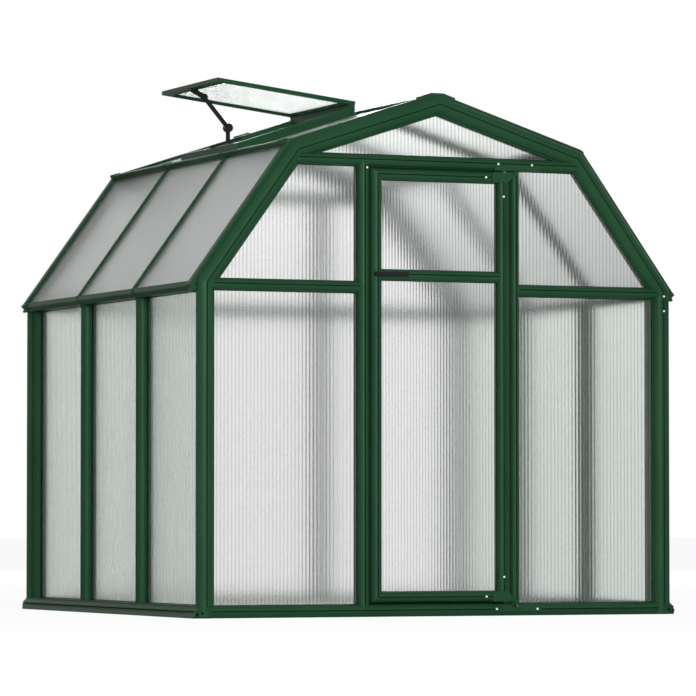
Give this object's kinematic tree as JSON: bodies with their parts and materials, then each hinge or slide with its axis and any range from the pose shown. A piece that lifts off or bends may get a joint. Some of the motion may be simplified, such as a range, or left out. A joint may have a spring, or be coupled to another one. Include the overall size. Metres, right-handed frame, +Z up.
{
  "type": "walk-in garden greenhouse",
  "caption": "Small barn-roofed greenhouse of green frame bars and translucent twin-wall panels, with a hinged door in the gable and a roof vent propped open on a stay",
  "frame": {"origin": "On the ground, at the centre of the base's footprint", "axes": "+Z up; the gable with the door looks along -Y; X runs across the gables, so the left wall and the open vent are at -X; Y runs along the ridge"},
  "size_m": [2.03, 1.976, 2.0814],
  "materials": {
    "frame_green": "dark green weatherproof resin, satin",
    "twin_wall_panel": "translucent twin-wall polycarbonate",
    "black_fitting": "black moulded plastic"
  },
  "bodies": {
    "building": {"back_eave_rails": "frame_green", "back_knee_beam": "frame_green", "back_left_post": "frame_green", "back_lower_rafters": "frame_green", "back_mullions": "frame_green", "back_panels": "twin_wall_panel", "back_right_post": "frame_green", "back_upper_rafters": "frame_green", "base_back": "frame_green", "base_corner_brackets": "frame_green", "base_front": "frame_green", "base_left": "frame_green", "base_right": "frame_green", "door_hinge_brackets": "frame_green", "doorway_posts": "frame_green", "front_eave_rails": "frame_green", "front_knee_beam": "frame_green", "front_left_post": "frame_green", "front_lower_rafters": "frame_green", "front_panels": "twin_wall_panel", "front_right_post": "frame_green", "front_upper_rafters": "frame_green", "left_eave_purlin": "frame_green", "left_knee_purlin": "frame_green", "left_lower_roof_bars": "frame_green", "left_lower_roof_panels": "twin_wall_panel", "left_side_posts": "frame_green", "left_upper_roof_bars": "frame_green", "left_upper_roof_panels": "twin_wall_panel", "left_wall_panels": "twin_wall_panel", "peak_caps": "frame_green", "purlin_clips": "frame_green", "ridge_beam": "frame_green", "right_eave_purlin": "frame_green", "right_knee_purlin": "frame_green", "right_lower_roof_bars": "frame_green", "right_lower_roof_panels": "twin_wall_panel", "right_side_posts": "frame_green", "right_upper_roof_bars": "frame_green", "right_upper_roof_panels": "twin_wall_panel", "right_wall_panels": "twin_wall_panel", "vent_hinge_rail": "frame_green", "vent_kerb": "frame_green", "vent_panel": "twin_wall_panel", "vent_sash": "frame_green", "vent_stay": "black_fitting"},
    "door": {"door_handle": "black_fitting", "door_hinge_plates": "frame_green", "door_panels": "twin_wall_panel", "door_rails": "frame_green", "door_stiles": "frame_green"}
  },
  "joints": [
    {"name": "door_hinge", "type": "hinge", "parent": "building", "child": "door", "pos_m": [0.312, -0.984, 0.9], "axis": [0, 0, 1], "range_deg": [0, 105]}
  ]
}
